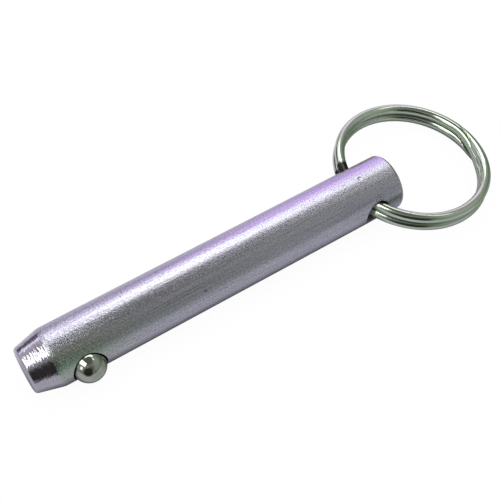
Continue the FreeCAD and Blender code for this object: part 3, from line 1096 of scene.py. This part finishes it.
def nickel_wire(graph):
    """Nickel plate over drawn wire: near mirror, with soft waves and hairlines along it. Its colour is
    tinted green, as a painted reflection of the room's green.

    Nickel has no violet sheen, so where it mirrors the violet patch of the room it greys it.
    """
    wire = wire_mm(graph)
    hairlines = graph.noise(wire, (0.08, 7.0, 0), roughness=0.6)
    waves = graph.noise(wire, (0.35, 0.9, 0), detail=2.0)
    mottle = graph.noise(wire, (0.15, 0.8, 0))
    colour = graph.mix(mottle, *NICKEL_AND_GREEN_REFLECTION)
    mirrored = graph.add("ShaderNodeTexCoord", {}).outputs["Reflection"]
    violet = glow(graph, mirrored, *VIOLET_PLACE)
    colour = graph.mix(violet, colour, graph.stretch(colour, NICKEL_IN_VIOLET))
    # The ring is painted near black where it runs in and beside the shank's hole.
    colour = graph.mix(dark_arc_share(graph, wire), colour, RING_DARK_ARC)
    rough = graph.ease(mottle, 0.3, 0.7, 0.07, 0.15)
    normal = graph.relief((waves, 0.02), (hairlines, 0.003))
    return shaded(graph, colour, *RING_SHADE), rough, normal


# Studio


def sky_direction(azimuth, elevation):
    """Unit vector; azimuth 0 is +Y, behind the pin, and 90 is +X."""
    a = math.radians(azimuth)
    e = math.radians(elevation)
    return Vector((math.sin(a) * math.cos(e), math.cos(a) * math.cos(e), math.sin(e)))


def glow(graph, ray, azimuth, elevation, inner, outer):
    """Round soft patch of sky, full inside the inner angle and gone past the outer one."""
    near = graph.dot(ray, sky_direction(azimuth, elevation))
    return graph.ease(near, math.cos(math.radians(outer)), math.cos(math.radians(inner)))


def softbox(graph, ray, azimuth, elevation, width, tall, lean):
    """Square-cornered panel of sky, as half-angles in degrees, turned by lean about its middle."""
    centre = sky_direction(azimuth, elevation)
    level = sky_direction(azimuth + 90, 0)
    turned = Quaternion(centre, math.radians(lean))
    right = turned @ level
    up = turned @ level.cross(centre)
    ahead = graph.math("MAXIMUM", graph.dot(ray, centre), 0.02)
    mask = 1.0
    for direction, half in ((right, width), (up, tall)):
        offset = graph.math("ABSOLUTE", graph.math("DIVIDE", graph.dot(ray, direction), ahead))
        inner = math.tan(math.radians(half - PANEL_EDGE))
        outer = math.tan(math.radians(half + PANEL_EDGE))
        mask = graph.times(mask, graph.ease(offset, inner, outer, 1.0, 0.0))
    return mask


# The room round the pin, as linear colours: what it reflects at each height, then soft patches of it
# (azimuth, elevation, full within, gone past, colour), then lit panels (azimuth, elevation,
# half width, half height, lean, colour). Angles are in degrees. VIOLET_PLACE is the patch that gives
# the zinc its violet sheen.

CEILING = (0.13, 0.13, 0.13, 1)
WALL = (0.30, 0.30, 0.325, 1)
TABLE = (0.48, 0.48, 0.55, 1)
BACKDROP = (1, 1, 1, 1)
VIOLET_PLACE = (36, 12, 8, 30)
PATCHES = (
    (-50, -5, 20, 55, (0.46, 0.44, 0.50, 1)),
    (0, -50, 12, 45, (0.66, 0.60, 0.72, 1)),
    (85, 0, 15, 45, (0.17, 0.20, 0.165, 1)),
    (108, -22, 8, 32, (0.30, 0.33, 0.29, 1)),
    (112, 40, 6, 28, (0.34, 0.36, 0.335, 1)),
    (165, -32, 10, 40, (0.405, 0.40, 0.45, 1)),
    (-178, 38, 6, 24, (0.14, 0.15, 0.11, 1)),
    (-150, 16, 20, 38, (0.032, 0.028, 0.030, 1)),
    (172, 7, 4, 18, (0.19, 0.24, 0.20, 1)),
    (*VIOLET_PLACE, (0.98, 0.69, 1.34, 1)),
    (40, -16, 6, 22, (0.56, 0.42, 0.72, 1)),
    (-24, 22, 8, 34, (0.52, 0.49, 0.60, 1)),
    (-16, 5, 6, 17, (0.11, 0.09, 0.14, 1)),
)
PANELS = (
    (14, 48.5, 14, 14.3, 6, (2.05, 2.05, 2.15, 1)),
    (42, 51, 15, 6.8, -8, (2.0, 2.0, 2.1, 1)),
    (-9, 26, 20, 2.8, 0, (1.6, 1.5, 1.8, 1)),
    (92, 57, 7, 4, 20, (1.5, 1.5, 1.5, 1)),
    (-79, 56, 22.5, 12, 28, (2.6, 2.6, 2.7, 1)),
    (-99, 29, 8, 9, 20, (1.6, 1.6, 1.6, 1)),
)
PANEL_EDGE = 1.5

# Fades by height, which is the sine of the elevation. A dim skirting runs round the room just over
# the table, and its own fade is in shares of its height.

CEILING_FADE = (0.75, 0.97)
HORIZON_FADE = (-0.04, 0.03)
SKIRTING_HEIGHT = 4.0
SKIRTING_FADE = (0.3, 2.2)
SKIRTING_DIM = 0.75


def studio_colour(graph, ray):
    """Colour of the room in the direction of a ray."""
    height = graph.dot(ray, Vector((0, 0, 1)))
    room = graph.mix(graph.ease(height, *CEILING_FADE), WALL, CEILING)
    sky = graph.mix(graph.ease(height, *HORIZON_FADE), TABLE, room)
    for *place, colour in PATCHES:
        sky = graph.mix(glow(graph, ray, *place), sky, colour)
    middle = math.sin(math.radians(SKIRTING_HEIGHT))
    off = graph.math("ABSOLUTE", graph.math("SUBTRACT", height, middle))
    start, end = SKIRTING_FADE
    sky = graph.scale(sky, graph.ease(off, start * middle, end * middle, SKIRTING_DIM))
    for *place, colour in PANELS:
        sky = graph.mix(softbox(graph, ray, *place), sky, colour)
    return sky


def make_world():
    """Light the pin with soft panels in a dim room, on a white backdrop."""
    world = bpy.data.worlds.new("studio")
    bpy.context.scene.world = world
    world.use_nodes = True
    graph = Graph(world.node_tree)
    ray = graph.add("ShaderNodeTexCoord", {}).outputs["Generated"]
    seen = graph.add("ShaderNodeLightPath", {}).outputs["Is Camera Ray"]
    colour = graph.mix(seen, studio_colour(graph, ray), BACKDROP)
    background = graph.add("ShaderNodeBackground", {"Color": colour, "Strength": 1.0})
    graph.add("ShaderNodeOutputWorld", {"Surface": background.outputs[0]})


FLOOR_GAP = 0.05
FLOOR_HALF = 1500
CONTACT_REACH = 6.5
CONTACT_SHADE = 0.96
CONTACT_FALLOFF = 2.2


def floor_material():
    """Pale floor material, which the metal and the camera see differently.

    The metal sees the room's own colour in it, darkened where the pin is close above. The camera sees
    the backdrop through it with a faint contact shadow, so that it never hides a ring that hangs down.
    """
    material = bpy.data.materials.new("pale_floor")
    material.use_nodes = True
    graph = Graph(material.node_tree)
    arriving = graph.add("ShaderNodeNewGeometry", {}).outputs["Incoming"]
    ray = graph.stretch(arriving, (-1, -1, -1))
    clear_share = openness(graph, CONTACT_REACH)
    dimming = graph.math("POWER", clear_share, CONTACT_FALLOFF)
    mirrored = graph.scale(studio_colour(graph, ray), dimming)
    mirror = graph.add("ShaderNodeEmission", {"Color": mirrored, "Strength": 1.0})
    faint = graph.scale(BACKDROP[:3], graph.ease(clear_share, 0, 1, CONTACT_SHADE))
    clear = graph.add("ShaderNodeBsdfTransparent", {"Color": faint})
    seen = graph.add("ShaderNodeLightPath", {}).outputs["Is Camera Ray"]
    both = graph.add("ShaderNodeMixShader", {0: seen, 1: mirror.outputs[0], 2: clear.outputs[0]})
    graph.add("ShaderNodeOutputMaterial", {"Surface": both.outputs[0]})
    return material


def make_floor():
    """Lay a pale floor just under the pin."""
    height = SHANK_LOW.z - FLOOR_GAP
    corners = [(-1, -1), (1, -1), (1, 1), (-1, 1)]
    points = [Vector((x * FLOOR_HALF, y * FLOOR_HALF, height)) * MM for x, y in corners]
    mesh = bpy.data.meshes.new("floor")
    mesh.from_pydata(points, [], [(0, 1, 2, 3)])
    mesh.materials.append(floor_material())
    show("floor", mesh)


# Camera: the point it looks at, in millimetres from the middle of the model's box, and where it
# stands from there. Its azimuth is counted as the room's.

AIM_OFFSET = Vector((-5.2, -1.23, 0))
CAMERA_AZIMUTH = 214.23
CAMERA_ELEVATION = 55.57
CAMERA_ROLL = 1.58
CAMERA_DISTANCE = 198.87
CAMERA_LENS = 67.953
CLIP_NEAR = 0.005
CLIP_FAR = 20


def make_camera():
    """Look down along the pin from the tip's side."""
    back = sky_direction(CAMERA_AZIMUTH, CAMERA_ELEVATION)
    low, high = CAD_BOX
    aim = (low + high) / 2 + AIM_OFFSET * MM
    data = bpy.data.cameras.new("camera")
    data.lens = CAMERA_LENS
    data.clip_start = CLIP_NEAR
    data.clip_end = CLIP_FAR
    camera = show("camera", data)
    camera.rotation_mode = "QUATERNION"
    camera.location = aim + back * CAMERA_DISTANCE * MM
    roll = Quaternion((0, 0, 1), math.radians(CAMERA_ROLL))
    camera.rotation_quaternion = (-back).to_track_quat("-Z", "Y") @ roll
    bpy.context.scene.camera = camera


# The whole scene


def main():
    """Dress every CAD node, then set up the studio."""
    skin = metal("zinc_plate", zinc_skin)
    turned = metal("zinc_turned", turned_zinc)
    bore = metal("painted_shade_bore", drilled_bore)
    shank = make_shank([skin, turned, bore])
    ball = make_ball(metal("polished_ball", polished_steel))
    spring = make_spring(metal("oiled_spring", spring_steel))
    ring = make_ring(metal("nickel_plate", nickel_wire))
    for piece, body, node, slot in (
        (shank, "pin", "shank", "zinc_plated_steel"),
        (ball, "ball", "detent_ball", "polished_ball_steel"),
        (spring, "pin", "detent_spring", "spring_steel"),
        (ring, "ring", "split_ring", "nickel_plated_wire"),
    ):
        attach(piece, body)
        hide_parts(node)
    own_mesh(spring)
    make_world()
    make_floor()
    make_camera()
    bpy.context.scene.view_settings.view_transform = "Standard"


main()
